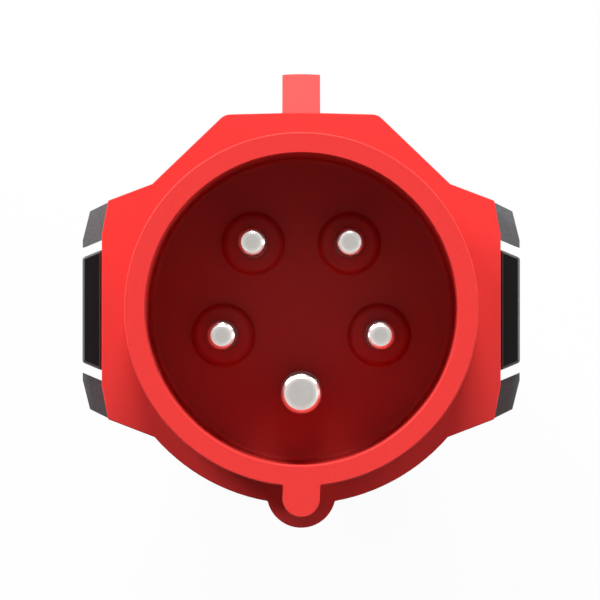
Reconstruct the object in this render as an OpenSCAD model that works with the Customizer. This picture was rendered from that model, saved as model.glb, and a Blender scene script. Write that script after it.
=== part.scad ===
// Industrial pin and sleeve plug: 16 A, three phases, neutral and earth, earth contact at 6 h.
// Z is the mating axis, pointing from the cable gland to the pins, and the plug stands on the
// gland nut's rear face at z = 0. Y points to the nose that the socket's lid catches, X to the right.
// Sizes are in millimetres.

/* [Sleeve] */
// Outside diameter of the protective sleeve
sleeve_d = 58; // [56:0.5:60]
// Thickness of the sleeve wall
sleeve_wall = 3.3; // [2.8:0.1:3.8]
// How far the sleeve stands out of the flange
sleeve_reach = 38; // [34:1:42]
// Depth of the sleeve, from rim to floor
sleeve_depth = 36; // [32:1:37]
// Thickness of the floor that the pins pass through
floor_wall = 3; // [2.5:0.5:4]
// Rounding of the sleeve's rim
rim_round = 0.2; // [0.1:0.05:1]
// Rounding between sleeve wall and floor
floor_round = 1; // [0.6:0.2:2.4]
// Width of the key under the sleeve
key_w = 6.1; // [5:0.1:7]
// Distance from the mating axis to the centre of the key's round end
key_reach = 31; // [30.5:0.1:32]

/* [Contacts] */
// Diameter of the circle on which the five pins stand
pin_circle_d = 27.6; // [26:0.2:30]
// Diameter of the phase and neutral pins
live_pin_d = 5; // [4.4:0.1:5.4]
// Diameter of the earth pin
earth_pin_d = 7; // [6:0.1:7.6]
// Length of the phase and neutral pins above the floor
live_pin_len = 27; // [24:0.5:30]
// Length of the earth pin above the floor
earth_pin_len = 28.5; // [25:0.5:31]
// Rounding of the pins' ends
pin_round = 1.4; // [0.8:0.1:1.8]
// Depth by which a pin's shank is turned down where it passes the floor
shank_relief = 0.3; // [0.2:0.05:0.4]
// Diameter of the raised collar round each phase and neutral pin
boss_d = 10.4; // [8.4:0.2:12]
// Height of that collar
boss_h = 2; // [0.8:0.1:3]
// Rounding of that collar's edge
boss_round = 1.1; // [0.3:0.1:1.4]
// Radius of the fillet at a collar's foot
boss_foot = 0.3; // [0.2:0.1:0.8]

/* [Terminals] */
// Diameter of the terminal barrel behind a phase or neutral pin
live_barrel_d = 8; // [7.4:0.1:9]
// Diameter of the terminal barrel behind the earth pin
earth_barrel_d = 9; // [8.4:0.1:10]
// Length of every terminal barrel
barrel_len = 23; // [20:1:26]
// Bore that takes the wire
wire_d = 4.2; // [3.2:0.1:5]
// Depth of the wire bore
wire_depth = 14; // [10:1:18]
// Thread diameter of a terminal screw
clamp_screw_d = 4; // [3:0.5:5]
// Head diameter of a terminal screw
clamp_head_d = 6; // [5.4:0.1:7]
// Head height of a terminal screw
clamp_head_h = 2.4; // [1.8:0.1:3]
// Distance of the terminal screws from the barrel's open end
clamp_screw_inset = 7; // [6:0.5:9]
// Diameter of the contact carrier
carrier_d = 43; // [42:0.5:46]
// Wall behind the terminal barrels
carrier_wall = 4; // [3:0.5:6]
// Thickness of the carrier's front disc
carrier_disc = 3; // [2:0.5:4]
// Thickness of the wire guide behind the carrier
guide_t = 4; // [3:0.5:5]
// Diameter of the wire guide's holes
guide_hole_d = 6.4; // [5.4:0.2:7]
// Thread diameter of the carrier's fixing screw
carrier_screw_d = 3.5; // [3:0.1:4]
// Head diameter of the carrier's fixing screw
carrier_head_d = 6.8; // [6:0.2:8]
// Length of the fixing screw inside the post of the floor
carrier_grip = 6; // [4:0.5:7]
// Outside diameter of the floor's screw post
post_d = 7.4; // [6.4:0.2:8]
// Length of the floor's screw post
post_len = 9; // [8:0.5:11]

/* [Front housing] */
// Length of the front housing between the parting plane and the flange face
shell_len = 18; // [17:0.5:22]
// Radius of the flange's round underside
body_r = 32.84; // [32.4:0.1:34]
// Width of the flange between its flat sides
flange_w = 67.5; // [66.5:0.5:70]
// Length of the flat stretch of those sides
side_flat = 25.5; // [24:0.5:28]
// Height of the flat top above the axis
top_h = 33.1; // [32.6:0.1:35]
// Width of the flat top between its chamfers
top_w = 25.4; // [22:0.2:30]
// Rounding of the flat top's corners
top_round = 2.4; // [1:0.2:4]
// Rise of the flat top from its corners to its middle
top_crown = 0.3; // [0.1:0.1:0.8]
// Half width at which the top's chamfers meet the cheeks
shoulder_x = 24.8; // [23:0.2:26]
// Height at which they meet
shoulder_y = 21.3; // [20:0.1:22]
// Half height of the cheeks' outer corners
cheek_y = 18.5; // [17:0.1:19]
// How far those corners stand in from the flat sides
cheek_in = 1.08; // [0.8:0.02:2]
// Radius of the bulge behind the key
bulge_r = 5.86; // [5:0.1:7]
// Chamfer on both housings where they meet
joint_chamfer = 0.4; // [0.2:0.1:0.8]
// Width of the nose
nose_w = 6.4; // [5:0.1:8]
// Height of the nose above the axis
nose_h = 40.1; // [38:0.1:42]
// Length of the nose's crest
nose_crest = 4; // [2:0.5:6]
// Length of the nose's front ramp
nose_ramp = 5; // [3:0.5:7]
// Outside diameter of the spigot that enters the rear housing
spigot_d = 58.8; // [58:0.2:59.4]
// Length of that spigot
spigot_len = 8; // [7:0.5:10]
// Inside diameter of the spigot
spigot_bore_d = 49.6; // [49:0.2:50.4]
// Thickness of the seal ring's section
seal_t = 2.3; // [1.8:0.1:2.6]

/* [Rear housing] */
// Length of the rear housing's body between gland shoulder and parting plane
rear_len = 59.5; // [57:0.5:66]
// Wall of the rear housing
rear_wall = 2.8; // [2.2:0.1:3.4]
// How far the rear housing's rounded shoulder would reach past the flange's side corners
shoulder_over = 1.9; // [1.6:0.1:3]
// How much the rear housing's outline stays inside the flange's
rear_inset = 0.3; // [0.1:0.1:0.6]
// Diameter of the neck above the gland
neck_d = 43; // [40:0.5:46]
// Number of grip ribs round the neck
neck_ribs = 20; // [12:1:24]
// Diameter of those ribs
rib_d = 2.6; // [2:0.2:3.2]
// Thickness of the neck's skin outside its wiring space
neck_wall = 2.8; // [2.2:0.1:3.4]
// Height of the rear housing's wiring space under the contact carrier's guide, measured across
chamber_d = 51; // [50:0.5:52]
// Reach of the side rails beyond the flange's flat sides
rail_reach = 3.8; // [2:0.1:4]
// Distance from the axis to the rails' inner corner, across
rail_y0 = 10.7; // [10.2:0.1:11.5]
// Distance from the axis to the rails' bevelled corner, across
rail_y1 = 17; // [15:0.1:17.4]
// Width of the flat stretch on the rails' outer side
rail_edge = 1.3; // [0.8:0.1:2]
// How far the rails' outer side leans in from there to the bevelled corner
rail_lean = 1.25; // [0.8:0.05:2]
// Slope of the rails' faces beside the latch, in degrees
rail_slope = 23; // [16:1:28]
// Draft of those faces towards the gland, in degrees
rail_draft = 1.2; // [0.5:0.1:2]
// Length of the rails
rail_len = 28; // [24:1:30]
// Slope that takes each rail's rear end back into the body
rail_end = 5.5; // [4:0.5:7]
// Number of grip grooves across the body's top and underside
grip_count = 6; // [3:1:8]
// Distance from one grip groove to the next
grip_pitch = 3; // [2.4:0.1:4]
// Width of a grip groove along the axis
grip_w = 1.2; // [0.8:0.1:1.6]
// Depth of the grip grooves
grip_depth = 0.5; // [0.3:0.1:0.8]
// Length of the grip grooves across the body
grip_span = 18; // [12:1:22]

/* [Latches] */
// Reach of the latches beyond the flange's flat sides
latch_reach = 3.45; // [2.6:0.05:4]
// Width of a latch at its outer face
latch_w = 17.8; // [16:0.2:18.2]
// How much wider a latch is at its root, on each side
latch_flare = 1.45; // [0.8:0.05:1.6]
// Distance of a latch's pivot behind the parting plane
pivot_back = 24; // [22:0.5:26]
// Distance of a latch's pivot inside the flange's flat side
pivot_in = 2.75; // [2.6:0.05:3]
// Diameter of the pivot pins
pivot_d = 2.5; // [2:0.1:2.8]
// Length of the pivot pins
pivot_len = 26.8; // [25:0.2:28]
// Diameter of a latch's pivot eye
eye_d = 5.6; // [5:0.1:6]
// Distance of the latches' front ends before the parting plane
latch_front = 14; // [13:0.5:15]
// Distance of the hook's holding face before the parting plane
hook_front = 7; // [6:0.5:8]
// Reach of the hook into the front housing
hook_reach = 1.8; // [1.2:0.1:2.2]
// Length of the hook along the axis
hook_len = 3.6; // [3:0.2:4.4]
// Chamfer round a latch's front end
latch_edge = 0.5; // [0.3:0.1:0.8]
// Number of finger grooves across a latch
latch_grooves = 4; // [2:1:5]
// Depth of those grooves
groove_depth = 0.5; // [0.3:0.1:0.8]
// Radius of the cutter that makes those grooves
groove_r = 1; // [0.6:0.1:1.4]
// Distance from one finger groove to the next
groove_pitch = 2.6; // [2:0.1:3]

/* [Cable gland] */
// Outside diameter of the gland nut
nut_d = 39; // [37:0.5:42]
// Length of the gland nut
nut_len = 24; // [22:0.5:28]
// Thickness of the gland nut's rear wall
nut_wall = 3; // [2:0.5:4]
// Hole in the gland nut's rear wall
nut_hole_d = 19; // [18.4:0.2:20]
// Number of grip flutes round the gland nut
nut_flutes = 18; // [12:1:24]
// Diameter of the cutter that makes those flutes
flute_d = 3.4; // [2.4:0.2:4]
// Depth of those flutes
flute_depth = 0.8; // [0.4:0.1:1.2]
// Thread diameter of the gland
gland_thread_d = 30; // [29:0.2:32]
// Wall of the gland's threaded spigot
gland_wall = 4; // [3.5:0.1:4.6]
// Length of the space for the clamping claws behind the spigot
claw_space = 7; // [6:0.5:8]
// Inside diameter of the clamping claws
claw_bore_d = 18; // [17:0.2:18.2]
// Number of clamping claws
claw_count = 10; // [6:1:14]
// Width of the slots between the claws
claw_slot = 1.2; // [0.8:0.1:1.6]
// Depth of the ring that carries the claws
claw_foot = 1.8; // [1.4:0.1:2.4]
// How far the claws lean out at their root
claw_lean = 3.2; // [2.4:0.1:3.4]
// Bore of the cable seal
cable_d = 13; // [10:0.5:16]
// Length of the cable seal
cable_seal_len = 12; // [9:0.5:13]

/* [Fits] */
// Radial clearance between a turning piece and its seat
running_gap = 0.06; // [0.02:0.01:0.1]
// Radial clearance of a fixed piece in its seat
seat_gap = 0.05; // [0.02:0.01:0.1]
// Clearance between pieces that only pass each other
free_gap = 0.3; // [0.2:0.05:0.5]

/* [Hidden] */
$fn = 96;

// Stations along the mating axis, from the gland to the rim
z_gland = nut_wall + claw_space;
z_neck = nut_len + 2 * free_gap;
z_joint = z_neck + rear_len;
z_flange = z_joint + shell_len;
z_root = z_joint + shell_len / 2;
z_rim = z_flange + sleeve_reach;
z_floor = z_rim - sleeve_depth;
z_back = z_floor - floor_wall;
z_barrel = z_back - barrel_len;
z_carrier = z_barrel - carrier_wall;
z_guide = z_carrier - guide_t;
z_clamp = z_barrel + clamp_screw_inset;
z_spigot = z_joint - spigot_len;
z_pivot = z_joint - pivot_back;
z_seal = z_joint - spigot_len / 2;
z_shoulder = z_joint - pivot_back / 2;

// Radii that several pieces share
sleeve_r = sleeve_d / 2;
sleeve_in_r = sleeve_r - sleeve_wall;
pin_r = pin_circle_d / 2;
side_x = flange_w / 2;
shoulder_r = norm([side_x, side_flat / 2]) + shoulder_over;
gland_bore_r = gland_thread_d / 2 - gland_wall;
pivot_x = side_x - pivot_in;
latch_gap = 2 * free_gap / 3;
latch_heel = eye_d / 4;
heel_sweep = norm([pivot_in + latch_gap, latch_heel]) + free_gap;
wire_clear = 0.6;
screw_slot = 1;

// The contacts stand at equal steps, clockwise from the earth pin: PE, N, L1, L2, L3
contact_count = 5;
function contact_angle(place) = 270 - 360 * place / contact_count;
live_angles = [for (place = [1:contact_count - 1]) contact_angle(place)];
contact_angles = concat([contact_angle(0)], live_angles);

// Points on an arc about [x, y], from angle a0 to a1
function arc(x, y, r, a0, a1, steps = 6) =
    [for (i = [0:steps]) let (a = a0 + (a1 - a0) * i / steps) [x + r * cos(a), y + r * sin(a)]];

// Copies of the children about the mating axis, one at each angle
module at_angles(angles) {
    for (a = angles) rotate([0, 0, a]) children();
}

// A radial cylinder on the contact's own ray, reaching from radius r0 to r1 at height z
module radial(r0, r1, r, z) {
    translate([r0, 0, z]) rotate([0, 90, 0]) cylinder(h = r1 - r0, r = r);
}

// Both sides of the plug
module both_sides() {
    children();
    mirror([1, 0, 0]) children();
}

// ---------- Outline shared by both housings ----------

// Hood over the sleeve: a crowned top with round corners and a chamfer down to each cheek
module hood_outline(inset) {
    top = top_h - inset;
    half = top_w / 2 - inset / 2;
    polygon(concat(
        [[shoulder_x - inset, shoulder_y - inset]],
        arc(half - top_round * 0.3, top - top_round, top_round, 42, 88, 5),
        [[0, top + top_crown]],
        arc(top_round * 0.3 - half, top - top_round, top_round, 92, 138, 5),
        [[inset - shoulder_x, shoulder_y - inset], [0, 0]]));
}

// Cheeks at the sides, which carry the latches
module cheek_outline(inset) {
    x = side_x - inset;
    corner = [x - cheek_in, cheek_y - inset / 2];
    shoulder = [shoulder_x - inset / 2, shoulder_y - inset];
    lower = [shoulder_x - inset / 2, -sqrt(pow(body_r, 2) - pow(shoulder_x, 2)) + inset / 2];
    flat = side_flat / 2;
    polygon([shoulder, corner, [x, flat], [x, -flat], [corner.x, -corner.y], lower,
             [-lower.x, lower.y], [-corner.x, -corner.y], [-x, -flat], [-x, flat],
             [-corner.x, corner.y], [-shoulder.x, shoulder.y]]);
}

// Whole outline, drawn in by inset on every side; the flat sides cut the round body
module body_outline(inset = 0) {
    intersection() {
        circle(r = body_r - inset);
        square([2 * (side_x - inset), 2 * body_r], center = true);
    }
    hood_outline(inset);
    cheek_outline(inset);
    translate([0, -key_reach]) circle(r = bulge_r - inset);
}

// ---------- Front housing ----------

// Half section of the sleeve with its rounded rim, rooted inside the shell
module sleeve_section() {
    polygon(concat(
        [[spigot_bore_d / 2, z_root], [sleeve_r, z_root]],
        arc(sleeve_r - rim_round, z_rim - rim_round, rim_round, 0, 90, 5),
        arc(sleeve_in_r + rim_round, z_rim - rim_round, rim_round, 90, 180, 5),
        [[sleeve_in_r, z_back], [spigot_bore_d / 2, z_back]]));
}

// Half section of the space inside the sleeve, rounded at the floor
module sleeve_space() {
    polygon(concat(
        [[0, z_floor]],
        arc(sleeve_in_r - floor_round, z_floor + floor_round, floor_round, 270, 360, 6),
        [[sleeve_in_r, z_rim + 1], [0, z_rim + 1]]));
}

// Key that stops a plug of another kind from entering
module key() {
    translate([0, 0, z_root]) {
        h = z_rim - z_root;
        translate([0, -key_reach, 0]) cylinder(h = h, d = key_w);
        translate([-key_w / 2, -key_reach, 0])
            cube([key_w, key_reach - sleeve_r + sleeve_wall / 2, h]);
    }
}

// Nose that the socket's lid drops behind
module nose() {
    back = z_flange - nose_ramp - nose_crest;
    root = top_h - top_round;
    intersection() {
        translate([-nose_w / 2, 0, 0]) rotate([90, 0, 90]) linear_extrude(nose_w)
            polygon([[root, z_flange - nose_crest / 4], [top_h + top_crown, z_flange - nose_crest / 4],
                     [nose_h, z_flange - nose_ramp], [nose_h, back],
                     [top_h, back - nose_crest / 2], [root, back - nose_crest / 2]]);
        cylinder(h = z_rim, r = nose_h);
    }
}

// Collar round a pin, with a rounded edge and a foot that runs out into the floor
module boss() {
    r = boss_d / 2;
    translate([pin_r, 0, 0]) rotate_extrude()
        polygon(concat([[0, z_floor - floor_wall / 2], [r + boss_foot, z_floor - floor_wall / 2],
                        [r + boss_foot, z_floor]],
                       arc(r + boss_foot, z_floor + boss_foot, boss_foot, 270, 180, 4),
                       arc(r - boss_round, z_floor + boss_h - boss_round, boss_round, 0, 90, 6),
                       [[0, z_floor + boss_h]]));
}

// Slot in each flat side that a latch hooks into
module catch_slot() {
    depth = hook_reach + free_gap;
    half = latch_w / 2 + latch_flare + free_gap;
    translate([side_x - depth, -half, z_joint + hook_front])
        cube([depth + 1, 2 * half, hook_len + 2 * free_gap]);
}

module front_housing() {
    color("#E93330") difference() {
        union() {
            translate([0, 0, z_joint]) linear_extrude(joint_chamfer)
                body_outline(rear_inset + joint_chamfer);
            translate([0, 0, z_joint + joint_chamfer])
                linear_extrude(shell_len - joint_chamfer) body_outline();
            translate([0, 0, z_spigot]) cylinder(h = spigot_len + 1, d = spigot_d);
            rotate_extrude() sleeve_section();
            translate([0, 0, z_root])
                cylinder(h = z_floor + floor_round + boss_h - z_root, r = sleeve_in_r + rim_round);
            key();
            nose();
        }
        difference() {
            rotate_extrude() sleeve_space();
            at_angles(live_angles) boss();
        }
        difference() {
            translate([0, 0, z_spigot - 1]) cylinder(h = z_back - z_spigot + 1, d = spigot_bore_d);
            translate([0, 0, z_back - post_len]) cylinder(h = post_len + 1, d = post_d);
        }
        translate([0, 0, z_back - post_len - 1])
            cylinder(h = carrier_grip + 1.5, d = carrier_screw_d + 2 * seat_gap);
        at_angles(live_angles) translate([pin_r, 0, z_back - 1])
            cylinder(h = floor_wall + boss_h + 2, d = live_pin_d + 2 * seat_gap);
        rotate([0, 0, contact_angle(0)]) translate([pin_r, 0, z_back - 1])
            cylinder(h = floor_wall + 2, d = earth_pin_d + 2 * seat_gap);
        translate([0, 0, z_seal - seal_t / 2 - free_gap]) difference() {
            cylinder(h = seal_t + 2 * free_gap, d = spigot_d + 2);
            translate([0, 0, -1]) cylinder(h = seal_t + 2 + 2 * free_gap, r = seal_in_r - seat_gap);
        }
        both_sides() catch_slot();
    }
}

// ---------- Seal between the housings ----------
seal_in_r = spigot_d / 2 - seal_t + seat_gap;

module housing_seal() {
    color("#1C1C1C") translate([0, 0, z_seal]) rotate_extrude()
        translate([seal_in_r + seal_t / 2, 0]) circle(d = seal_t, $fn = 24);
}

// ---------- Contact carrier and wire guide ----------

module contact_carrier() {
    live_r = live_barrel_d / 2 + seat_gap;
    earth_r = earth_barrel_d / 2 + seat_gap;
    depth = barrel_len + 1;
    color("#D8D4CC") difference() {
        union() {
            translate([0, 0, z_carrier]) cylinder(h = z_back - z_carrier, d = carrier_d);
            translate([0, 0, z_back - carrier_disc])
                cylinder(h = carrier_disc, d = spigot_bore_d - 2 * free_gap);
        }
        translate([0, 0, z_back - post_len - free_gap])
            cylinder(h = post_len + 1, d = post_d + 2 * seat_gap);
        translate([0, 0, z_carrier - 1])
            cylinder(h = z_back - z_carrier, d = carrier_screw_d + 2 * free_gap);
        at_angles(live_angles) translate([pin_r, 0, z_barrel]) cylinder(h = depth, r = live_r);
        rotate([0, 0, contact_angle(0)]) translate([pin_r, 0, z_barrel]) cylinder(h = depth, r = earth_r);
        at_angles(contact_angles) {
            translate([pin_r, 0, z_carrier - 1])
                cylinder(h = carrier_wall + 2, d = wire_d + 2 * wire_clear);
            radial(pin_r, carrier_d / 2 + 2, clamp_head_d / 2 + seat_gap, z_clamp);
        }
        // Grooves between the terminal chambers keep the moulding's walls even
        at_angles([for (a = contact_angles) a + 180 / contact_count])
            translate([carrier_d / 2, 0, z_carrier - 1])
                cylinder(h = z_back - carrier_disc - z_carrier + 1, d = post_d);
    }
}

module wire_guide() {
    color("#2A2A2A") difference() {
        union() {
            translate([0, 0, z_guide]) cylinder(h = guide_t, d = carrier_d);
            translate([0, 0, z_guide - guide_t / 2])
                cylinder(h = guide_t, d = carrier_head_d + guide_t);
        }
        at_angles(contact_angles) translate([pin_r, 0, z_guide - 1]) {
            cylinder(h = guide_t + 2, d = guide_hole_d);
            cylinder(h = guide_t / 2 + 1, d1 = guide_hole_d + guide_t, d2 = guide_hole_d);
        }
        translate([0, 0, z_guide - guide_t])
            cylinder(h = 3 * guide_t, d = carrier_screw_d + 2 * free_gap);
        translate([0, 0, z_guide - guide_t])
            cylinder(h = guide_t, d = carrier_head_d + 2 * free_gap);
    }
}

// Screw that draws the guide and the carrier against the floor
module carrier_screw() {
    top = z_back - post_len + carrier_grip;
    color("#B9BCC0") difference() {
        union() {
            translate([0, 0, z_guide]) cylinder(h = top - z_guide, d = carrier_screw_d);
            translate([0, 0, z_guide - guide_t / 2])
                cylinder(h = guide_t / 2, d = carrier_head_d);
        }
        translate([0, 0, z_guide - guide_t / 2 - 1])
            cylinder(h = 1 + guide_t / 3, d = carrier_head_d / 2, $fn = 6);
    }
}

// ---------- Contacts ----------

// Turned contact: a pin with a rounded end and a barrel bored for the wire, on its own ray
module contact(pin_d, len, barrel_d, collar_h = 0) {
    r = pin_d / 2;
    tip = z_floor + len;
    foot = z_floor + collar_h;
    difference() {
        translate([pin_r, 0, 0]) rotate_extrude()
            polygon(concat(
                [[0, z_barrel], [barrel_d / 2 - screw_slot / 2, z_barrel],
                 [barrel_d / 2, z_barrel + screw_slot / 2], [barrel_d / 2, z_back],
                 [r - shank_relief, z_back], [r - shank_relief, foot], [r, foot]],
                arc(r - pin_round, tip - pin_round, pin_round, 0, 90, 6),
                [[0, tip]]));
        translate([pin_r, 0, z_barrel - 1]) cylinder(h = wire_depth + 1, d = wire_d);
        radial(pin_r, pin_r + barrel_d, clamp_screw_d / 2 + seat_gap, z_clamp);
    }
}

module live_contact(place) {
    color("#C9C7C2") rotate([0, 0, contact_angle(place)])
        contact(live_pin_d, live_pin_len, live_barrel_d, boss_h);
}

module pin_n() { live_contact(1); }
module pin_l1() { live_contact(2); }
module pin_l2() { live_contact(3); }
module pin_l3() { live_contact(4); }
module pin_pe() {
    color("#C9C7C2") rotate([0, 0, contact_angle(0)]) contact(earth_pin_d, earth_pin_len, earth_barrel_d);
}

// Slotted screw that clamps the wire, backed out just clear of the wire bore
module terminal_screw(place, barrel_d) {
    head = pin_r + barrel_d / 2 + screw_slot / 2;
    color("#B9BCC0") rotate([0, 0, contact_angle(place)]) difference() {
        union() {
            radial(pin_r + wire_d / 2, head + screw_slot / 2, clamp_screw_d / 2, z_clamp);
            radial(head, head + clamp_head_h, clamp_head_d / 2, z_clamp);
        }
        translate([head + clamp_head_h / 2, -clamp_head_d, z_clamp - screw_slot / 2])
            cube([clamp_head_h, 2 * clamp_head_d, screw_slot]);
    }
}

module terminal_screw_pe() { terminal_screw(0, earth_barrel_d); }
module terminal_screw_n() { terminal_screw(1, live_barrel_d); }
module terminal_screw_l1() { terminal_screw(2, live_barrel_d); }
module terminal_screw_l2() { terminal_screw(3, live_barrel_d); }
module terminal_screw_l3() { terminal_screw(4, live_barrel_d); }

// ---------- Rear housing ----------

// Ball-ended envelope that rounds off the rear of the body and of the rails
module rounded_end(r) {
    translate([0, 0, z_shoulder]) {
        sphere(r = r);
        cylinder(h = z_joint - z_shoulder, r = r);
    }
}

// Side rail beside each latch: bevelled outwards, drafted beside the latch, sloped at its end
module rail() {
    x = side_x + rail_reach;
    depth = rail_y1 - rail_y0;
    difference() {
        translate([0, 0, z_joint - rail_len]) linear_extrude(rail_len - joint_chamfer)
            polygon([[pivot_x, rail_y0 - 1], [x, rail_y0 - 1], [x, rail_y0 + rail_edge],
                     [x - rail_lean, rail_y1], [side_x - cheek_in, cheek_y + rear_inset],
                     [pivot_x, cheek_y]]);
        translate([x, rail_y0, z_joint]) rotate([0, 0, -rail_slope]) rotate([rail_draft, 0, 0])
            translate([-3 * rail_reach, -depth, -rail_len - 2])
                cube([4 * rail_reach, depth, rail_len + 3]);
        translate([x, rail_y0 + depth / 2, z_joint - rail_len]) rotate([0, 45, 0])
            cube([rail_end * sqrt(2), 4 * depth, rail_end * sqrt(2)], center = true);
    }
}

// Grooves across the body's top and underside, which give the hand its grip
module grip_grooves() {
    for (i = [1:grip_count])
        translate([0, 0, z_joint - 2 * grip_pitch - grip_pitch * i]) linear_extrude(grip_w)
            difference() {
                square([grip_span, 3 * body_r], center = true);
                body_outline(rear_inset + grip_depth);
            }
}

// Grip ribs and collar round the neck
module neck() {
    r = neck_d / 2;
    h = z_shoulder - z_neck;
    step = rib_d * 0.4;
    translate([0, 0, z_neck]) cylinder(h = h, r = r - step);
    translate([0, 0, z_neck]) rotate_extrude()
        polygon([[0, 0], [r - step, 0], [r, step], [r, 3 * step], [r - step, 4 * step],
                 [0, 4 * step]]);
    at_angles([for (i = [0:neck_ribs - 1]) 360 * i / neck_ribs])
        translate([r - step * 1.4, 0, z_neck + 2 * step]) cylinder(h = h / 2, d = rib_d, $fn = 24);
}

module rear_housing() {
    pocket_half = latch_w / 2 + latch_flare + free_gap;
    wall_x = pivot_x - eye_d / 2 - free_gap;
    color("#5B5C5C") difference() {
        union() {
            intersection() {
                union() {
                    translate([0, 0, z_neck]) linear_extrude(rear_len - joint_chamfer)
                        body_outline(rear_inset);
                    translate([0, 0, z_joint - joint_chamfer - 1])
                        linear_extrude(joint_chamfer + 1) body_outline(rear_inset + joint_chamfer);
                }
                rounded_end(shoulder_r);
            }
            intersection() {
                union() {
                    both_sides() {
                        rail();
                        mirror([0, 1, 0]) rail();
                    }
                }
                rounded_end(shoulder_r + rail_reach + 0.5);
            }
            neck();
            translate([0, 0, z_gland]) cylinder(h = z_neck - z_gland + 1, d = gland_thread_d);
        }
        // Seat of the front housing's spigot
        translate([0, 0, z_spigot - free_gap])
            cylinder(h = spigot_len + free_gap + 1, d = spigot_d + 2 * seat_gap);
        // Wiring space
        intersection() {
            translate([0, 0, z_neck]) cylinder(h = z_joint - z_neck, d = chamber_d);
            translate([0, 0, z_shoulder]) {
                sphere(r = shoulder_r - rear_wall);
                cylinder(h = z_joint - z_shoulder, r = shoulder_r - rear_wall);
            }
        }
        translate([0, 0, z_neck + rear_wall])
            cylinder(h = z_shoulder - z_neck - rear_wall, r = neck_d / 2 - rib_d * 0.4 - neck_wall);
        translate([0, 0, z_gland + cable_seal_len - 1])
            cylinder(h = rear_len, d = claw_bore_d);
        // Seat of the cable seal
        translate([0, 0, z_gland - 1])
            cylinder(h = cable_seal_len + 1, r = gland_bore_r);
        grip_grooves();
        // Pocket and pin holes of each latch
        both_sides() {
            translate([wall_x, -pocket_half, z_pivot])
                cube([side_x, 2 * pocket_half, eye_d / 2 + 4]);
            translate([pivot_x, -pocket_half, z_pivot]) rotate([-90, 0, 0])
                cylinder(h = 2 * pocket_half, r = heel_sweep);
            translate([pivot_x, -pivot_len / 2, z_pivot]) rotate([-90, 0, 0])
                cylinder(h = pivot_len / 2 + body_r, d = pivot_d + 2 * seat_gap);
        }
    }
}

// ---------- Latches ----------

// Side view of a latch in x and z: pivot eye, lever and hook
module latch_profile() {
    x0 = side_x + latch_gap;
    x1 = side_x + latch_reach;
    z1 = z_joint + latch_front;
    zh = z_joint + hook_front + free_gap;
    tip = side_x - hook_reach;
    eye = eye_d / 2;
    translate([pivot_x, z_pivot]) circle(d = eye_d);
    polygon([[pivot_x, z_pivot - eye], [x0, z_pivot - latch_heel], [x1, z_pivot + eye_d + 1],
             [x1, z1 - latch_edge], [x1 - latch_edge, z1], [x0 + latch_edge, z1],
             [x0, z1 - latch_edge],
             [x0, zh + hook_len - free_gap], [tip, zh + hook_len / 3], [tip, zh], [x0, zh],
             [x0, z_pivot + eye_d], [pivot_x, z_pivot + eye]]);
}

// Front view of a latch: a trapezium that narrows outwards
module latch_outline() {
    root = latch_w / 2 + latch_flare;
    tip = latch_w / 2;
    x1 = side_x + latch_reach;
    polygon([[pivot_x - eye_d, root], [side_x, root], [x1, tip], [x1, -tip],
             [side_x, -root], [pivot_x - eye_d, -root]]);
}

// Chamfer on one flank of a latch's front end
module flank_chamfer() {
    run = latch_reach + free_gap;
    translate([side_x, latch_w / 2 + latch_flare, z_joint + latch_front])
        rotate([0, 0, -atan(latch_flare / latch_reach)]) rotate([45, 0, 0])
            translate([-run, -latch_edge / sqrt(2), -run]) cube([3 * run, run, 2 * run]);
}

module latch() {
    color("#1F2020") difference() {
        intersection() {
            translate([0, body_r, 0]) rotate([90, 0, 0]) linear_extrude(2 * body_r) latch_profile();
            translate([0, 0, z_pivot - eye_d]) linear_extrude(z_flange - z_pivot) latch_outline();
        }
        translate([pivot_x, -body_r, z_pivot]) rotate([-90, 0, 0])
            cylinder(h = 2 * body_r, d = pivot_d + 2 * running_gap);
        for (i = [1:latch_grooves])
            translate([side_x + latch_reach + groove_r - groove_depth, -body_r,
                       z_joint + latch_front - groove_r - groove_pitch * i])
                rotate([-90, 0, 0]) cylinder(h = 2 * body_r, r = groove_r, $fn = 24);
        flank_chamfer();
        mirror([0, 1, 0]) flank_chamfer();
    }
}

module latch_right() { latch(); }
module latch_left() { mirror([1, 0, 0]) latch(); }

module latch_pin() {
    color("#B9BCC0") translate([pivot_x, -pivot_len / 2, z_pivot]) rotate([-90, 0, 0])
        cylinder(h = pivot_len, d = pivot_d);
}

module latch_pin_right() { latch_pin(); }
module latch_pin_left() { mirror([1, 0, 0]) latch_pin(); }

// ---------- Cable gland ----------

module cable_seal() {
    color("#151515") translate([0, 0, z_gland]) difference() {
        cylinder(h = cable_seal_len, r = gland_bore_r - seat_gap);
        translate([0, 0, -1]) cylinder(h = cable_seal_len + 2, d = cable_d);
        for (i = [1:2]) translate([0, 0, cable_seal_len * i / 3 - 0.8])
            cylinder(h = 1.6, d = cable_d + 2);
    }
}

// Cage of claws that the nut closes on the cable
module clamp_claws() {
    r0 = claw_bore_d / 2;
    base_r = gland_thread_d / 2 - 1.2;
    color("#C4C6C8") translate([0, 0, nut_wall]) difference() {
        rotate_extrude()
            polygon([[r0, claw_space], [r0, free_gap * 2], [r0 + 1.5, free_gap * 2],
                     [r0 + claw_lean, claw_space - claw_foot], [base_r, claw_space - claw_foot],
                     [base_r, claw_space]]);
        at_angles([for (i = [0:claw_count - 1]) 360 * (i + 0.5) / claw_count])
            translate([r0 - 1, -claw_slot / 2, -1])
                cube([claw_foot + claw_lean + 1, claw_slot, claw_space - claw_foot]);
    }
}

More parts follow.
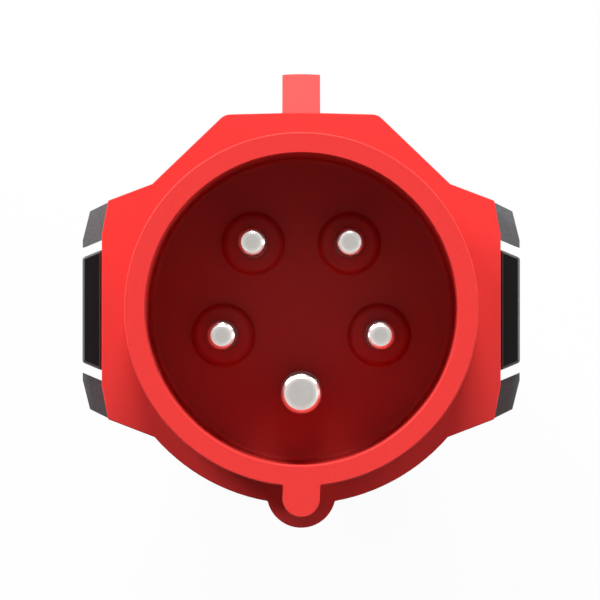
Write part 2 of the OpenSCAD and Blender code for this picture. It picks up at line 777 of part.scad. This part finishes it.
module gland_nut() {
    r = nut_d / 2;
    thread_r = gland_thread_d / 2 + running_gap;
    lip = nut_hole_d / 2;
    color("#2B2C2D") difference() {
        rotate_extrude()
            polygon([[lip, 0], [r - 3, 0], [r - 1.2, 1.6], [r, 6], [r, nut_len - 1],
                     [r - 1, nut_len], [thread_r, nut_len],
                     [thread_r, z_gland - claw_foot - free_gap],
                     [claw_bore_d / 2 + claw_lean + free_gap * 1.5, z_gland - claw_foot - free_gap],
                     [claw_bore_d / 2 + 1.5 + free_gap * 1.5, nut_wall], [lip, nut_wall]]);
        at_angles([for (i = [0:nut_flutes - 1]) 360 * i / nut_flutes])
            translate([r - flute_depth + flute_d / 2, 0, nut_wall + 1])
                cylinder(h = nut_len, d = flute_d, $fn = 24);
    }
}

front_housing();
contact_carrier();
wire_guide();
carrier_screw();
pin_l1();
pin_l2();
pin_l3();
pin_n();
pin_pe();
terminal_screw_l1();
terminal_screw_l2();
terminal_screw_l3();
terminal_screw_n();
terminal_screw_pe();
housing_seal();
rear_housing();
latch_left();
latch_right();
latch_pin_left();
latch_pin_right();
cable_seal();
clamp_claws();
gland_nut();
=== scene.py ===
# %% [markdown]
# # An industrial pin and sleeve plug
#
# The plug joins a five-core cable to a three-phase socket. Its front housing is one red moulding: a
# round sleeve with a key under it, a floor that the pins pass through, and a flange with a nose on
# top. Two black latches hold it to the grey rear housing, which ends in a cable gland.
#
# The solids of all these pieces already exist. This notebook gives them their surfaces: it rounds
# the edges that catch light, winds the threads of the screws, and gives each piece the finish that
# its material has in the hand. It starts by loading the solids.

# %% Load the solids
import math

import bmesh
import bpy
from mathutils import Matrix, Vector


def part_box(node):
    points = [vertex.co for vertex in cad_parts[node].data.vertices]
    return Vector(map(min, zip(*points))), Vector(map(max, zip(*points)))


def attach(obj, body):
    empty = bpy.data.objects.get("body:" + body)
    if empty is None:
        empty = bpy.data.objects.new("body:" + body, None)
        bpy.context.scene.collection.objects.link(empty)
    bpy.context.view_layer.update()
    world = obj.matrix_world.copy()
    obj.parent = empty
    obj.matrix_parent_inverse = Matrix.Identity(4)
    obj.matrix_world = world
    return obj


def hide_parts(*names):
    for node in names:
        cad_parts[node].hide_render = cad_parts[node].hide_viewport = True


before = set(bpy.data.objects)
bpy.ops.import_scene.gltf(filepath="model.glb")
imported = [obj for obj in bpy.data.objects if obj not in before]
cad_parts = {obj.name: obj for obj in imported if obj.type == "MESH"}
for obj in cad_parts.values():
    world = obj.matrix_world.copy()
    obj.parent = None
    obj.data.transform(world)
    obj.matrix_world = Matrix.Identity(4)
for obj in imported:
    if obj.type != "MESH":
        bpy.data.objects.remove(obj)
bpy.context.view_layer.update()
MM = 0.001

# %% [markdown]
# ## Where the camera stands
#
# The plug stands on its gland nut with the pins up, so the camera looks straight down on it. It
# stands far off with a long lens, as for a catalogue picture: only a thin strip of the sleeve's
# inside shows, and round things stay round. Nobody lines up a camera perfectly, so it is also a
# few millimetres below the mating axis and tilted up by a quarter of a degree.

# %% Camera
LENS_MM = 408.2
EYE_DISTANCE = 1.113
EYE_BELOW_AXIS = 3.4 * MM
TILT_DEGREES = 0.253

rim_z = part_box("front_housing")[1][2]
camera_data = bpy.data.cameras.new("camera")
camera_data.lens = LENS_MM
camera_data.sensor_width = 36
camera_data.shift_x = -0.002
camera_data.clip_end = 10
camera = bpy.data.objects.new("camera", camera_data)
camera.location = (0, -EYE_BELOW_AXIS, rim_z + EYE_DISTANCE)
camera.rotation_euler = (math.radians(TILT_DEGREES), 0, 0)
bpy.context.scene.collection.objects.link(camera)
bpy.context.scene.camera = camera
print("camera", round(camera.location.z, 3), "m above the floor")

# %% [markdown]
# ## Colours and shader nodes
#
# Colours are easier to read as the hex values of a paint or plastic chart, but shaders work in
# linear light, so one function turns the first into the second. Another adds a node, sets its
# inputs and links them in one line, which keeps each material short enough to read.


# %% Helpers for colours and nodes
def colour(hex_value, shade=1.0):
    """An sRGB hex colour as linear RGBA, darkened by shade."""
    parts = [int(hex_value[i:i + 2], 16) / 255 for i in (1, 3, 5)]
    linear = [p / 12.92 if p <= 0.04045 else ((p + 0.055) / 1.055) ** 2.4 for p in parts]
    return (*[p * shade for p in linear], 1.0)


def add_node(tree, kind, settings=None, **inputs):
    """Adds a node. Inputs go by label, or by place as _0, and take a value or an output socket."""
    node = tree.nodes.new(kind)
    for name, value in (settings or {}).items():
        setattr(node, name, value)
    for name, value in inputs.items():
        key = int(name[1:]) if name[0] == "_" and name[1:].isdigit() else name.replace("_", " ")
        if isinstance(value, bpy.types.NodeSocket):
            tree.links.new(value, node.inputs[key])
        else:
            node.inputs[key].default_value = value
    return node


print("linear value of #808080:", round(colour("#808080")[0], 3))

# %% [markdown]
# ## Moulded polyamide
#
# The housings of such plugs are injection moulded in glass-filled polyamide, coloured right
# through. A polished mould gives a satin skin: the reflection is faint and soft, and where the melt
# slowed down the gloss drifts a little. An eroded mould gives a fine grain instead.
#
# One function makes both. A noise some 20 mm across lets the gloss drift, and a fine one is the
# grain: as a bump, and as a slight change of shade, because the tips of a grain wear paler than
# its valleys. A real grain would be too fine to show, so it is drawn at 0.3 to 0.6 mm instead.


# %% Moulded plastics
POLYAMIDE_IOR = 1.53
DRIFT_MM = 22
GLOSS_DRIFT = 0.05


def moulded(name, base, roughness, grain_mm, grain_depth_mm, speckle=0.02, specular=0.1):
    """A moulded plastic; speckle is how much the grain changes the shade."""
    material = bpy.data.materials.new(name)
    material.use_nodes = True
    tree = material.node_tree
    tree.nodes.clear()
    place = add_node(tree, "ShaderNodeTexCoord").outputs["Object"]
    drift = add_node(tree, "ShaderNodeTexNoise", Vector=place, Scale=1 / (DRIFT_MM * MM), Detail=2.0)
    grain = add_node(tree, "ShaderNodeTexNoise", Vector=place, Scale=1 / (grain_mm * MM), Detail=2.0)
    shades = add_node(tree, "ShaderNodeMapRange", Value=grain.outputs["Fac"],
                      From_Min=0.3, From_Max=0.7, To_Min=0.0, To_Max=1.0)
    tint = add_node(tree, "ShaderNodeMix", {"data_type": "RGBA"}, Factor=shades.outputs["Result"],
                    A=colour(base, 1 - speckle), B=colour(base, 1 + speckle))
    gloss = add_node(tree, "ShaderNodeMapRange", Value=drift.outputs["Fac"],
                     To_Min=roughness - GLOSS_DRIFT, To_Max=roughness + GLOSS_DRIFT)
    bump = add_node(tree, "ShaderNodeBump", Height=grain.outputs["Fac"], Strength=1.0,
                    Distance=grain_depth_mm * MM)
    shader = add_node(tree, "ShaderNodeBsdfPrincipled", Base_Color=tint.outputs["Result"],
                      Roughness=gloss.outputs["Result"], Normal=bump.outputs["Normal"],
                      IOR=POLYAMIDE_IOR, Specular_IOR_Level=specular)
    add_node(tree, "ShaderNodeOutputMaterial", Surface=shader.outputs["BSDF"])
    return material


# Glass-filled polyamide from a polished mould: an even, satin red without a visible grain
red_polyamide = moulded("satin_red_polyamide", "#DE3A37", 0.45, 0.6, 0.003, specular=0.11)
# The same plastic in a lighter red on the end face of the sleeve: painted light
rim_painted_light_polyamide = moulded("red_polyamide_painted_light", "#EC3B38", 0.42, 0.6, 0.002, specular=0.11)
# The same plastic inside the sleeve: matt where the core is eroded, with a stronger sheen, and a
# shade darker as painted shade
eroded_shaded_polyamide = moulded("eroded_red_polyamide_painted_shade", "#DA3936", 0.6, 0.35, 0.004, specular=0.22)
# The same plastic in grey from an eroded mould: matt, with a fine speckle
grey_polyamide = moulded("grained_grey_polyamide", "#667072", 0.6, 0.35, 0.02, speckle=0.14)
# Black polyamide of the latches: satin, a little glossier than the housings
black_polyamide = moulded("satin_black_polyamide", "#0C0C0D", 0.38, 0.4, 0.004, specular=0.13)
# Painted highlight on its rounded edges: a paler, glossier black with a shallower grain
edge_highlight_polyamide = moulded("black_polyamide_painted_highlight", "#363638", 0.34, 0.4, 0.002, specular=0.6)
# Charcoal polyamide of the gland nut and the wire guide, with the housing's grain
charcoal_polyamide = moulded("grained_charcoal_polyamide", "#2A2B2C", 0.55, 0.35, 0.015,
                             speckle=0.10, specular=0.25)
# Uncoloured polyamide of the claws and the contact carrier: a warm, waxy white
natural_polyamide = moulded("natural_polyamide", "#D2CDBF", 0.45, 0.6, 0.004, specular=0.35)
# Nitrile rubber of the seals: dead matt black with a dusty bloom
nitrile_rubber = moulded("matt_nitrile_rubber", "#1A1A1A", 0.8, 0.3, 0.006, speckle=0.2)
print("plastics:", len(bpy.data.materials))

# %% [markdown]
# ## Plated metal
#
# The contacts are turned from brass bar and nickel plated. Turning leaves fine rings round each
# pin, and the plating rounds them off, so the metal is bright but its reflections are soft. The
# rings are a wave along the pin at 0.25 mm, wider than a real tool mark, because a finer one
# would not show. The screws are pressed steel with a bluish zinc plating, duller and cloudier.


# %% Plated metals
# A Wave texture turns by this many radians over one unit of its scaled coordinate
WAVE_RATE = 20
MARK_DEPTH_MM = 0.004
CLOUD_MM = 1.6


def plated(name, base, roughness, mark_mm, cloud):
    """A plated metal; cloud is how much its shade varies."""
    material = bpy.data.materials.new(name)
    material.use_nodes = True
    tree = material.node_tree
    tree.nodes.clear()
    place = add_node(tree, "ShaderNodeTexCoord").outputs["Object"]
    marks = add_node(tree, "ShaderNodeTexWave", {"wave_type": "BANDS", "bands_direction": "Z"},
                     Vector=place, Scale=2 * math.pi / WAVE_RATE / (mark_mm * MM), Distortion=0.4)
    clouds = add_node(tree, "ShaderNodeTexNoise", Vector=place, Scale=1 / (CLOUD_MM * MM), Detail=4.0)
    tint = add_node(tree, "ShaderNodeMix", {"data_type": "RGBA"}, Factor=clouds.outputs["Fac"],
                    A=colour(base, 1 - cloud), B=colour(base))
    gloss = add_node(tree, "ShaderNodeMapRange", Value=clouds.outputs["Fac"],
                     To_Min=roughness - GLOSS_DRIFT, To_Max=roughness + GLOSS_DRIFT)
    bump = add_node(tree, "ShaderNodeBump", Height=marks.outputs["Fac"], Strength=0.35,
                    Distance=MARK_DEPTH_MM * MM)
    shader = add_node(tree, "ShaderNodeBsdfPrincipled", Base_Color=tint.outputs["Result"],
                      Roughness=gloss.outputs["Result"], Normal=bump.outputs["Normal"],
                      Metallic=1.0)
    add_node(tree, "ShaderNodeOutputMaterial", Surface=shader.outputs["BSDF"])
    return material


# Nickel plating on turned brass: a warm, bright grey
nickel_plate = plated("nickel_plated_brass", "#D6D2CE", 0.25, 0.25, 0.05)
# Zinc plating on pressed steel: cooler and cloudier
zinc_plate = plated("zinc_plated_steel", "#B4B9BF", 0.34, 0.2, 0.18)
print("metals:", nickel_plate.name, zinc_plate.name)

# %% [markdown]
# ## Which piece has which finish
#
# The solids keep their own meshes. Only the material in each of their slots changes, so the
# finish of a piece can be swapped here without touching its shape.

# %% Give each piece its finish
FINISHES = {
    "front_housing": red_polyamide,
    "contact_carrier": natural_polyamide,
    "wire_guide": charcoal_polyamide,
    "carrier_screw": zinc_plate,
    "housing_seal": nitrile_rubber,
    "rear_housing": grey_polyamide,
    "latch_left": black_polyamide,
    "latch_right": black_polyamide,
    "latch_pin_left": zinc_plate,
    "latch_pin_right": zinc_plate,
    "cable_seal": nitrile_rubber,
    "clamp_claws": natural_polyamide,
    "gland_nut": charcoal_polyamide,
}
CONTACTS = ("pe", "n", "l1", "l2", "l3")
for contact in CONTACTS:
    FINISHES["pin_" + contact] = nickel_plate
    FINISHES["terminal_screw_" + contact] = zinc_plate
for name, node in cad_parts.items():
    for place in range(len(node.material_slots)):
        node.material_slots[place].material = FINISHES[name]
print("finished", len(FINISHES), "pieces")

# %% [markdown]
# ## Soft edges
#
# No moulding has a perfectly sharp edge: the mould is milled with a small radius, and the tool
# that erodes it wears round. The thin line of light along such an edge is much of what makes
# plastic look real. The solids are loose triangles, so a copy is welded and its flat faces made
# whole, and then a Bevel modifier rounds every edge that turns by more than 35 degrees. Smooth
# shading alone would make the wide faces beside such an edge look blown up like a cushion, so the
# normals are weighted by area: a wide face stays flat, and the bend stays in the thin strip.
#
# The rounded strips along the latches' edges get a paler, glossier black of their own: a painted
# highlight. The copy rides on the same body as the solid and stands in its place.


# %% A softened copy of a solid
SHARP_TURN = math.radians(35)
FLAT_TURN = math.radians(0.2)


def welded(node_name):
    """A copy of a solid's mesh with its triangles joined and its flat faces made whole."""
    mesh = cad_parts[node_name].data.copy()
    work = bmesh.new()
    work.from_mesh(mesh)
    bmesh.ops.remove_doubles(work, verts=work.verts, dist=0.001 * MM)
    bmesh.ops.dissolve_limit(work, angle_limit=FLAT_TURN, verts=work.verts, edges=work.edges)
    work.to_mesh(mesh)
    work.free()
    if "custom_normal" in mesh.attributes:
        mesh.attributes.remove(mesh.attributes["custom_normal"])
    return mesh


def soften(node_name, body, radius_mm, mesh=None, edge=None):
    """A copy of the solid with rounded edges, in the solid's place; edge, if given, is the material
    of the rounded strips: a painted highlight.
    """
    piece = bpy.data.objects.new(node_name + "_soft", mesh or welded(node_name))
    bpy.context.scene.collection.objects.link(piece)
    piece.data.shade_smooth()
    bevel = piece.modifiers.new("soft_edges", "BEVEL")
    bevel.width = radius_mm * MM
    bevel.segments = 3
    bevel.limit_method = "ANGLE"
    bevel.angle_limit = SHARP_TURN
    bevel.use_clamp_overlap = False
    if edge:
        piece.data.materials.append(edge)
        bevel.material = len(piece.data.materials) - 1
    flat = piece.modifiers.new("flat_faces", "WEIGHTED_NORMAL")
    flat.mode = "FACE_AREA"
    flat.keep_sharp = False
    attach(piece, body)
    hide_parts(node_name)
    return piece


# The latches' rounded strips get the painted highlight material.
for name, body, radius_mm, edge in (("latch_left", "latch_left", 0.4, edge_highlight_polyamide),
                                    ("latch_right", "latch_right", 0.4, edge_highlight_polyamide),
                                    ("gland_nut", "gland_nut", 0.2, None)):
    piece = soften(name, body, radius_mm, edge=edge)
    print(piece.name, len(piece.data.polygons), "faces before its bevel")

# %% [markdown]
# ## The front housing
#
# The front housing needs four things more than round edges.
#
# On each side of the nose a straight flank runs down to the round body and should touch it
# smoothly, as a tangent does. On the solid it cuts in a hair's breadth too deep and leaves a
# shallow dent. The tangent is easy to find: it keeps one distance from the axis along its own
# normal, the radius of the body, so each point of the dent is moved out until it has that
# distance. None of them moves by more than 0.2 mm.
#
# The core of the mould, which forms the inside of the sleeve, is ground where it shuts off and
# leaves a crisp edge there. So the rounding of the rim's inner edge is drawn in towards its
# corner, until it is only 0.06 mm wide.
#
# The end face of the sleeve is painted a lighter red: painted light where the lamps graze the rim.
# The inside is matt, because the core is eroded so that the moulding does not stick to it, and a
# shade darker: painted shade in the hollow. The faces of both are found by where they lie.


# %% Front housing
BODY_RADIUS = 32.84 * MM
BORE_RADIUS = 25.7 * MM
SLEEVE_FLOOR = 104.1 * MM


def smooth_flanks(mesh):
    """Moves the flanks beside the nose out to the tangents of the round body."""
    # A tangent touches the body 46.18 degrees up from the X axis
    out_x, out_y = 0.6924, 0.7215
    dent_starts = 20 * MM
    deepest = 0.2 * MM
    for side in (-1, 1):
        normal = Vector((side * out_x, out_y, 0))
        for vertex in mesh.vertices:
            on_the_round = abs(vertex.co.xy.length - BODY_RADIUS) < 0.01 * MM
            short = BODY_RADIUS - vertex.co.dot(normal)
            if on_the_round and short < deepest and vertex.co.x * side > dent_starts:
                vertex.co += normal * short


def crisp_rim(mesh):
    """Draws the rounding of the rim's inner edge in towards its corner."""
    reach = 0.205 * MM
    kept = 0.3
    for vertex in mesh.vertices:
        out = vertex.co.xy.length
        if abs(out - BORE_RADIUS) < reach and rim_z - vertex.co.z < reach:
            vertex.co.xy *= (BORE_RADIUS + (out - BORE_RADIUS) * kept) / out
            vertex.co.z = rim_z + (vertex.co.z - rim_z) * kept


def paint_light_and_shade_by_place(mesh):
    """Gives the end of the sleeve painted light, and its inside the eroded finish with painted shade.
    """
    mesh.materials.append(rim_painted_light_polyamide)
    mesh.materials.append(eroded_shaded_polyamide)
    rim_painted_light_from = rim_z - 0.1 * MM
    eroded_shaded_from = SLEEVE_FLOOR - 0.2 * MM
    eroded_shaded_within = BORE_RADIUS + 0.02 * MM
    for face in mesh.polygons:
        if face.center.z > rim_painted_light_from:
            face.material_index = 1
        elif face.center.z > eroded_shaded_from and face.center.xy.length < eroded_shaded_within:
            face.material_index = 2


front = welded("front_housing")
smooth_flanks(front)
crisp_rim(front)
paint_light_and_shade_by_place(front)
soften("front_housing", "plug", radius_mm=0.15, mesh=front)
finishes = [face.material_index for face in front.polygons]
print("rim painted light faces:", finishes.count(1), "eroded and shaded faces:", finishes.count(2))

# %% [markdown]
# ## A tree for screw threads
#
# A thread is a ridge that follows a helix, so it is swept: a spiral curve gives the path, and a
# small circle, drawn along it, gives the ridge. Geometry Nodes does both from four sizes, so the
# same tree serves the short terminal screws and the long screw in the middle. The ridge is round
# because the plating rounds the crest of the real one.


# %% Screw thread tree
def tree_with_inputs(name, inputs):
    """An empty geometry tree with these named inputs, and the sockets that give them."""
    tree = bpy.data.node_groups.new(name, "GeometryNodeTree")
    for label, kind in inputs.items():
        tree.interface.new_socket(label, in_out="INPUT", socket_type=kind)
    tree.interface.new_socket("Mesh", in_out="OUTPUT", socket_type="NodeSocketGeometry")
    return tree, tree.nodes.new("NodeGroupInput").outputs


def thread_tree():
    """A tree that winds a round ridge round the Z axis, from zero up to its length."""
    tree, given = tree_with_inputs("screw_thread", {
        "Radius": "NodeSocketFloat", "Pitch": "NodeSocketFloat", "Length": "NodeSocketFloat",
        "Ridge": "NodeSocketFloat", "Material": "NodeSocketMaterial"})
    turns = add_node(tree, "ShaderNodeMath", {"operation": "DIVIDE"}, _0=given["Length"],
                     _1=given["Pitch"])
    middle = add_node(tree, "ShaderNodeMath", {"operation": "SUBTRACT"}, _0=given["Radius"],
                      _1=given["Ridge"])
    helix = add_node(tree, "GeometryNodeCurveSpiral", Resolution=24, Rotations=turns.outputs[0],
                     Start_Radius=middle.outputs[0], End_Radius=middle.outputs[0],
                     Height=given["Length"])
    ridge = add_node(tree, "GeometryNodeCurvePrimitiveCircle", Resolution=8, Radius=given["Ridge"])
    swept = add_node(tree, "GeometryNodeCurveToMesh", Curve=helix.outputs["Curve"],
                     Profile_Curve=ridge.outputs["Curve"], Fill_Caps=True)
    whole = add_node(tree, "GeometryNodeRealizeInstances", Geometry=swept.outputs["Mesh"])
    dressed = add_node(tree, "GeometryNodeSetMaterial", Geometry=whole.outputs["Geometry"],
                       Material=given["Material"])
    add_node(tree, "NodeGroupOutput", Mesh=dressed.outputs["Geometry"])
    return tree


SCREW_THREAD = thread_tree()
print("inputs:", [socket.name for socket in SCREW_THREAD.interface.items_tree])

# %% [markdown]
# ## From a tree to a plain piece
#
# A tree needs an object to run on, so an empty mesh serves as its seed. Its inputs are set by their
# identifiers, because two of them could share a name. The result is read off once, becomes the
# plain mesh of a new object, and the seed is thrown away: what is left can be moved, exported and
# edited like any other mesh.


# %% Grow a piece
def grow(tree, name, body, place, **values):
    """Runs a geometry tree with these values and puts its mesh in place as a plain piece."""
    seed = bpy.data.objects.new(name + "_seed", bpy.data.meshes.new(name + "_seed"))
    bpy.context.scene.collection.objects.link(seed)
    modifier = seed.modifiers.new("tree", "NODES")
    modifier.node_group = tree
    for socket in tree.interface.items_tree:
        if socket.name in values:
            modifier[socket.identifier] = values[socket.name]
    graph = bpy.context.evaluated_depsgraph_get()
    mesh = bpy.data.meshes.new_from_object(seed.evaluated_get(graph))
    bpy.data.objects.remove(seed)
    mesh.transform(place)
    mesh.shade_smooth()
    piece = bpy.data.objects.new(name, mesh)
    bpy.context.scene.collection.objects.link(piece)
    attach(piece, body)
    return piece


print("pieces can grow from", SCREW_THREAD.name)

# %% [markdown]
# ## Threads on the screws
#
# The solids have plain shanks as thick as their threads. Under a thread the shank is thinner, so
# a copy of each screw has its shank drawn in, and the ridge is wound on it with its crest where
# the plain shank was: nothing grows, and the screw still fits its hole. The five terminal screws
# point outwards from the axis, each on its contact's own ray. The carrier screw stands on the
# axis. Only its last 7 mm have a thread, 6 of them inside the post of the floor.


# %% Wind the threads
PITCH_MM = 0.7
RIDGE_MM = 0.16
SCREW_EDGE_MM = 0.08


def drawn_in(node_name, start, way, radius, depth):
    """A welded copy of a solid whose surface at that radius round an axis is drawn in by depth."""
    mesh = welded(node_name)
    for vertex in mesh.vertices:
        along = start + way * (vertex.co - start).dot(way)
        out = vertex.co - along
        if abs(out.length - radius) < 0.02 * MM:
            vertex.co = along + out.normalized() * (radius - depth)
    return mesh


def shank_of(node_name, start, way):
    """Where a screw's plain shank begins and ends along its axis, and its radius."""
    spots = []
    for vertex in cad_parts[node_name].data.vertices:
        along = (vertex.co - start).dot(way)
        spots.append((along, (vertex.co - start - way * along).length))
    tip = min(along for along, out in spots)
    radius = max(out for along, out in spots if along < tip + 0.01 * MM)
    neck = max(along for along, out in spots if abs(out - radius) < 0.01 * MM)
    return tip, neck, radius


def wind(node_name, start, way, length=None):
    """Draws a shank in and winds a thread on it from its tip, to its neck if no length is given."""
    tip, neck, radius = shank_of(node_name, start, way)
    # The ridge is two of its radii thick, so half a radius of it stays rooted in the shank
    mesh = drawn_in(node_name, start, way, radius, 1.5 * RIDGE_MM * MM)
    turn = way.to_track_quat("Z", "Y").to_matrix().to_4x4()
    grow(SCREW_THREAD, node_name + "_thread", "plug", Matrix.Translation(start + way * tip) @ turn,
         Radius=radius, Pitch=PITCH_MM * MM, Length=length or neck - tip, Ridge=RIDGE_MM * MM,
         Material=FINISHES[node_name])
    return mesh


FIFTH_TURN = 360 / len(CONTACTS)
for place, contact in enumerate(CONTACTS):
    name = "terminal_screw_" + contact
    angle = math.radians(270 - FIFTH_TURN * place)
    way = Vector((math.cos(angle), math.sin(angle), 0))
    low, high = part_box(name)
    height = Vector((0, 0, (low[2] + high[2]) / 2))
    soften(name, "plug", SCREW_EDGE_MM, wind(name, height, way))
down = Vector((0, 0, -1))
top = Vector((0, 0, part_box("carrier_screw")[1][2]))
grip = 7 * MM
soften("carrier_screw", "plug", SCREW_EDGE_MM, wind("carrier_screw", top, down, grip))
print("screws threaded:", len(CONTACTS) + 1)

# %% [markdown]
# ## Floor and light
#
# The floor is a plain white sheet. To the camera, and in reflections, it is mostly its own even
# white, and the rest is a plain matt surface that keeps a faint shadow.


# %% Floor
OWN_WHITE = 0.94


def stage_floor():
    """A white sheet under the plug."""
    mesh = bpy.data.meshes.new("floor")
    reach = 3.0
    corners = [(-reach, -reach, 0), (reach, -reach, 0), (reach, reach, 0), (-reach, reach, 0)]
    mesh.from_pydata(corners, [], [(0, 1, 2, 3)])
    floor = bpy.data.objects.new("floor", mesh)
    bpy.context.scene.collection.objects.link(floor)
    material = bpy.data.materials.new("white_floor")
    material.use_nodes = True
    tree = material.node_tree
    tree.nodes.clear()
    rays = add_node(tree, "ShaderNodeLightPath")
    seen = add_node(tree, "ShaderNodeMath", {"operation": "MAXIMUM"},
                    _0=rays.outputs["Is Camera Ray"], _1=rays.outputs["Is Glossy Ray"])
    share = add_node(tree, "ShaderNodeMath", {"operation": "MULTIPLY"}, _0=seen.outputs[0],
                     _1=OWN_WHITE)
    matt = add_node(tree, "ShaderNodeBsdfDiffuse", Color=colour("#EDEDED"))
    white = add_node(tree, "ShaderNodeEmission", Strength=1.0)
    mix = add_node(tree, "ShaderNodeMixShader", _0=share.outputs[0], _1=matt.outputs[0],
                   _2=white.outputs[0])
    add_node(tree, "ShaderNodeOutputMaterial", Surface=mix.outputs[0])
    mesh.materials.append(material)


stage_floor()
print("floor at z = 0")

# %% [markdown]
# ## Lamps
#
# The light is a row of soft boxes round the plug, all low: they stand 8 to 30 degrees above the
# plane of the rim. Those past the nose and to its left do most of the work. Coming in so flat, the
# light grazes the rim and the flange, the sleeve throws a wide soft shadow over the lower flange,
# and little reaches the floor of the sleeve, which stays deep red.
#
# A wide, faint ceiling hangs over all of them. Matt surfaces do not see it, but glossy ones mirror
# it, so it lays a thin white sheen on the plastic and fills the metal from above.


# %% Soft boxes
def soft_box(name, turn, rise, power, distance=2.4, size=0.9):
    """A square lamp that looks at the rim; turn goes anticlockwise from +X, rise is above it."""
    target = Vector((0, 0, rim_z))
    across = math.cos(math.radians(rise))
    way = Vector((math.cos(math.radians(turn)) * across, math.sin(math.radians(turn)) * across,
                  math.sin(math.radians(rise))))
    lamp_data = bpy.data.lights.new(name, "AREA")
    lamp_data.size = size
    lamp_data.energy = power
    lamp = bpy.data.objects.new(name, lamp_data)
    lamp.location = target + way * distance
    lamp.rotation_euler = (-way).to_track_quat("-Z", "Y").to_euler()
    bpy.context.scene.collection.objects.link(lamp)
    return lamp


soft_box("key_past_the_nose", 90, 30, 48)
soft_box("low_past_the_nose", 90, 15, 18)
soft_box("key_left", 135, 15, 66)
soft_box("key_right", 45, 15, 23)
soft_box("side_right", 0, 25, 18)
soft_box("side_left", 180, 8, 14)
ceiling = soft_box("ceiling", 0, 90, 20, distance=2.2, size=3.0)
ceiling.visible_diffuse = False
print("lamps:", len(bpy.data.lights))

# %% [markdown]
# ## What the metal reflects
#
# Bright metal shows its surroundings more than its own colour. Overhead it sees only the ceiling
# lamp, and further down the white walls of the studio. The walls are seen by the camera and in
# reflections alone, so they light no matt surface.


# %% Studio room
# Heights in the sky, where 0 is the horizon and 1 is straight up
WALL_TOP = 0.8
WALL_GONE = 0.99


def studio_room():
    """A white wall all round that fades out overhead, seen directly and in reflections alone."""
    world = bpy.data.worlds.new("studio")
    bpy.context.scene.world = world
    world.use_nodes = True
    tree = world.node_tree
    tree.nodes.clear()
    way = add_node(tree, "ShaderNodeTexCoord").outputs["Generated"]
    height = add_node(tree, "ShaderNodeSeparateXYZ", Vector=way).outputs["Z"]
    wall = add_node(tree, "ShaderNodeMapRange", {"interpolation_type": "SMOOTHSTEP"}, Value=height,
                    From_Min=WALL_TOP, From_Max=WALL_GONE, To_Min=1.0, To_Max=0.0)
    rays = add_node(tree, "ShaderNodeLightPath")
    seen = add_node(tree, "ShaderNodeMath", {"operation": "MAXIMUM"},
                    _0=rays.outputs["Is Camera Ray"], _1=rays.outputs["Is Glossy Ray"])
    direct = add_node(tree, "ShaderNodeMath", {"operation": "LESS_THAN"},
                      _0=rays.outputs["Diffuse Depth"], _1=0.5)
    shown = add_node(tree, "ShaderNodeMath", {"operation": "MULTIPLY"},
                     _0=seen.outputs[0], _1=direct.outputs[0])
    strength = add_node(tree, "ShaderNodeMath", {"operation": "MULTIPLY"},
                        _0=wall.outputs["Result"], _1=shown.outputs[0])
    room = add_node(tree, "ShaderNodeBackground", Color=colour("#FFFFFF"),
                    Strength=strength.outputs[0])
    add_node(tree, "ShaderNodeOutputWorld", Surface=room.outputs[0])


studio_room()
bpy.context.scene.view_settings.view_transform = "Standard"
print("view:", bpy.context.scene.view_settings.view_transform)
